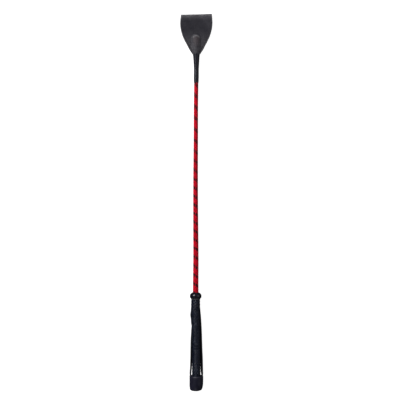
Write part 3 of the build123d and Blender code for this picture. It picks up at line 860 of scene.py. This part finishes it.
def stitch(middle, pitch, face, side, ring):
    """One short arch of thread, and its uv."""
    share = np.linspace(-1, 1, STITCH_RINGS)
    along = middle + 0.5 * STITCH_FILL * pitch * share
    x = side * (half_width(along) - STITCH_INSET)
    above = 0.5 * LAYER - STITCH_SUNK + STITCH_ARCH * (1 - share ** 4)
    z = face * (layer_height(x, along) + above) + waves(x, along)
    line = np.stack([x, along, z], axis=-1)
    tangent = np.gradient(line, axis=0)
    tangent /= np.linalg.norm(tangent, axis=-1, keepdims=True)
    side_way = np.cross(tangent, (0, 0, 1.0))
    side_way /= np.linalg.norm(side_way, axis=-1, keepdims=True)
    top_way = np.cross(side_way, tangent)
    tube = [line + THREAD_R * (math.cos(a) * side_way + 0.8 * math.sin(a) * top_way) for a in ring]
    length = 0.5 * STITCH_FILL * pitch * (share + 1)
    uv = np.stack(np.meshgrid(length, ring * 0.3, indexing="ij"), axis=-1)
    return np.stack(tube, axis=1).reshape(-1, 3), uv.reshape(-1, 2)


def make_stitches():
    """Lock stitches near both slanting edges: a short arch of thread on each face, sunk at its ends."""
    ring = around(8)
    pitch = (STITCH_SPAN[1] - STITCH_SPAN[0]) / STITCHES
    points, uvs, faces, first = [], [], [], 0
    for face in (1, -1):
        for side in (-1, 1):
            for i in range(STITCHES):
                thread, uv = stitch(STITCH_SPAN[0] + (i + 0.5) * pitch, pitch, face, side, ring)
                points.append(thread)
                uvs.append(uv)
                faces += tube_faces(STITCH_RINGS, len(ring), first)
                first += len(thread)
    piece("keeper_stitches", np.concatenate(points), faces, BLACK_THREAD, "crop", ["keeper_stitching"],
          "stitch_thread", np.concatenate(uvs))


# ---- wrist strap --------------------------------------------------------------------------------------
STRAP_WIDE, STRAP_THICK = 5.6, 2.0
STRAP_CUP = 0.12                                     # its faces are hollowed by this
STRAP_RINGS, STRAP_ROUND = 300, 20                   # rings along it, and points round it
# The strap's middle from one end in the cap, round the loop, to the other end: distance from the butt, x, z
# and the angle that its outer face looks to, about the axis. It leaves the cap on edge, turns over as it
# runs beside the handle and passes flat under it.
STRAP = [
    (10, -9.2, 0.0, -90), (19, -9.2, 0.0, -90), (24.5, -9.6, 0.0, -90), (29, -10.15, -0.2, -102),
    (37, -9.6, -0.7, -105), (43, -9.15, -1.3, -109), (48, -8.85, -2.1, -113), (56, -8.55, -2.8, -113),
    (65, -8.4, -3.6, -111), (75, -8.1, -4.6, -114), (86, -7.5, -5.6, -120), (98, -6.4, -6.6, -128),
    (105.5, -5.75, -7.1, -137), (110, -5.05, -7.6, -143), (116.5, -5.8, -8.2, -155),
    (121.5, -5.85, -8.7, -165), (129.5, -6.6, -9.3, -177), (136, -5.8, -9.5, -180),
    (141.3, -4.9, -9.6, -180), (144.4, -2.2, -9.6, -180), (144.5, 1.4, -9.6, -180),
    (141, 4.6, -9.5, -182), (136, 5.15, -9.1, -191), (130, 5.75, -8.5, -205), (122, 6.7, -6.8, -223),
    (112, 7.6, -4.9, -239), (100, 8.2, -3.8, -246), (87, 8.45, -3.3, -246), (70, 8.7, -3.0, -242),
    (54, 9.0, -3.0, -233), (45, 9.15, -2.6, -233), (38.5, 9.4, -1.6, -236), (33, 9.6, -0.6, -241),
    (28.5, 10.0, -0.1, -251), (24, 9.7, 0.0, -268), (19, 9.2, 0.0, -270), (10, 9.2, 0.0, -270),
]


def strap_line():
    """Middle points of the strap and the angle its outer face looks to, point by point."""
    knots = np.array([(x, s, z, a) for s, x, z, a in STRAP], float)
    step = np.linalg.norm(np.diff(knots[:, :3], axis=0), axis=1)
    length = np.concatenate([[0], np.cumsum(step)])
    at = np.linspace(0, length[-1], STRAP_RINGS)
    return np.stack([smooth(list(zip(length, knots[:, k])), at) for k in range(4)], axis=1), at


def make_strap():
    """The strap as one closed mesh, from one end in the cap round the loop to the other."""
    line, at = strap_line()
    middle, facing = line[:, :3], np.radians(line[:, 3])
    tangent = np.gradient(middle, axis=0)
    tangent /= np.linalg.norm(tangent, axis=1, keepdims=True)
    inward = np.stack([-np.sin(facing), 0 * facing, -np.cos(facing)], axis=1)
    inward -= tangent * np.sum(inward * tangent, axis=1, keepdims=True)
    inward /= np.linalg.norm(inward, axis=1, keepdims=True)
    across = np.cross(tangent, inward)
    a, n = strand_section(STRAP_ROUND, 5.0)
    cup = STRAP_CUP * (a ** 2 - 0.4)
    rings = (
        middle[:, None, :]
        + across[:, None, :] * (0.5 * STRAP_WIDE * a)[None, :, None]
        + inward[:, None, :] * (0.5 * STRAP_THICK * n + cup)[None, :, None]
    )
    ring_uv = np.linspace(0, 2 * (STRAP_WIDE + STRAP_THICK), len(a))
    uv = np.stack(np.meshgrid(at, ring_uv, indexing="ij"), axis=-1).reshape(-1, 2)
    along = middle[:, 1]
    # Edge wear all along both edges; the extra on the left edge, from 90 to 134 mm from the butt, is a
    # painted highlight where that edge catches the key lamp.
    rubs_and_highlight = 0.3 + 0.9 * ease(along, 90, 104) * ease(134 - along, 0, 8) * (middle[:, 0] < 0)
    wear = np.outer(rubs_and_highlight, ease(np.abs(a), 0.8, 0.97)).ravel()
    strap = piece("wrist_strap", rings.reshape(-1, 3), tube_faces(len(middle), len(a)), STRAP_LEATHER,
                  stands_for=["strap_tails", "strap_loop"], slot="strap_leather", uv=uv, wear=wear)
    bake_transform(strap)


# ---- what the covers hide keeps its CAD shape ----------------------------------------------------------
def paint_cad_nodes():
    """Gives the CAD shapes that no modelled piece replaces their materials."""
    looks = {
        "core_rod": FIBREGLASS, "rod_tip_cap": GLOSS, "upper_braid_binding": BINDING,
        "lower_braid_binding": BINDING, "keeper_whipping": BINDING, "handle_core": WOOD,
        "butt_plug": CAP_RUBBER, "strap_tacks": STEEL,
    }
    for node, material in looks.items():
        for slot in frame["nodes"][node].material_slots:
            slot.material = material


# ---- floor, light and camera ---------------------------------------------------------------------------
VIEW_MIDDLE, VIEW_WIDTH = Vector((0.0067, 0.0033, 0.008)), 0.6906
CAMERA_HEIGHT = 1.55
SENSOR = 36.0
TONE = 0.78                                          # a contrasty print: dark tones fall, white stays
STUDIO_R, STUDIO_HEIGHT = 12.0, 12.0
ACRYLIC, ACRYLIC_DARK, ACRYLIC_LIGHT = (0.16, 0.16, 0.16), (0.15, 0.15, 0.15), (0.17, 0.17, 0.17)
WHITE = (1.0, 1.0, 1.0, 1)
ACRYLIC_GLOW, WORLD_GLOW = 0.98, 0.06
LAMPS = [                                            # name, place, size and watts; each looks at the crop
    ("key", (-1.8, 1.75, 2.3), (1.9, 1.9), 160.0),
    ("fill", (2.8, 0.6, 1.9), (3.0, 3.0), 26.0),
    ("low", (-0.6, -2.6, 1.9), (2.0, 1.6), 12.0),
]


def make_floor():
    """A lit white floor with a round white wall far behind. Neither shows in the gloss of the covers."""
    rim = [(STUDIO_R * math.cos(t), STUDIO_R * math.sin(t)) for t in around(48)]
    count = len(rim)
    low = [(x, y, 0.0) for x, y in rim]
    top = [(x, y, STUDIO_HEIGHT) for x, y in rim]
    floor = staged("floor", low, [tuple(range(count))])
    backdrop = staged("backdrop", low + top, tube_faces(2, count, capped=False))
    floor.visible_glossy = False
    for light in ("visible_diffuse", "visible_glossy", "visible_shadow"):
        setattr(backdrop, light, False)


def staged(name, points, faces):
    """A glowing white sheet that belongs to the studio and not to the crop; points are in metres."""
    mesh = bpy.data.meshes.new(name)
    mesh.from_pydata(points, [], faces)
    paint = Paint(name + "_acrylic", ACRYLIC, 0.9, Specular_IOR_Level=0.1)
    grain = paint.noise(paint.place(), 300.0, 2.0)
    paint.color(paint.tint(grain, ACRYLIC_DARK, ACRYLIC_LIGHT))
    paint.shader.inputs["Emission Color"].default_value = WHITE
    paint.shader.inputs["Emission Strength"].default_value = ACRYLIC_GLOW
    mesh.materials.append(paint.material)
    made = bpy.data.objects.new(name, mesh)
    bpy.context.scene.collection.objects.link(made)
    return made


def make_lamp(name, place, size, watts):
    """A soft rectangular lamp that looks at the middle of the crop."""
    data = bpy.data.lights.new(name, "AREA")
    data.shape = "RECTANGLE"
    data.size, data.size_y = size
    data.energy = watts
    lamp = bpy.data.objects.new(name, data)
    lamp.location = place
    lamp.rotation_mode = "QUATERNION"
    lamp.rotation_quaternion = (-Vector(place)).to_track_quat("-Z", "Y")
    bpy.context.scene.collection.objects.link(lamp)


def make_studio():
    """Lamps, a faint even light from all round, and the tone of the picture."""
    world = bpy.data.worlds.new("studio")
    world.use_nodes = True
    background = world.node_tree.nodes["Background"]
    background.inputs["Color"].default_value = WHITE
    background.inputs["Strength"].default_value = WORLD_GLOW
    bpy.context.scene.world = world
    for lamp in LAMPS:
        make_lamp(*lamp)
    bpy.context.scene.view_settings.view_transform = "Standard"
    bpy.context.scene.view_settings.gamma = TONE


def make_camera():
    """A camera straight above the crop, with the tip up."""
    data = bpy.data.cameras.new("camera")
    data.sensor_width = SENSOR
    data.lens = SENSOR * CAMERA_HEIGHT / VIEW_WIDTH
    camera = bpy.data.objects.new("camera", data)
    camera.location = VIEW_MIDDLE + Vector((0, 0, CAMERA_HEIGHT))
    bpy.context.scene.collection.objects.link(camera)
    bpy.context.scene.camera = camera


make_camera()
make_floor()
make_studio()
make_stem()
make_grip()
make_collar()
make_cap()
make_tacks()
make_sleeve()
make_keeper()
make_stitches()
make_strap()
paint_cad_nodes()
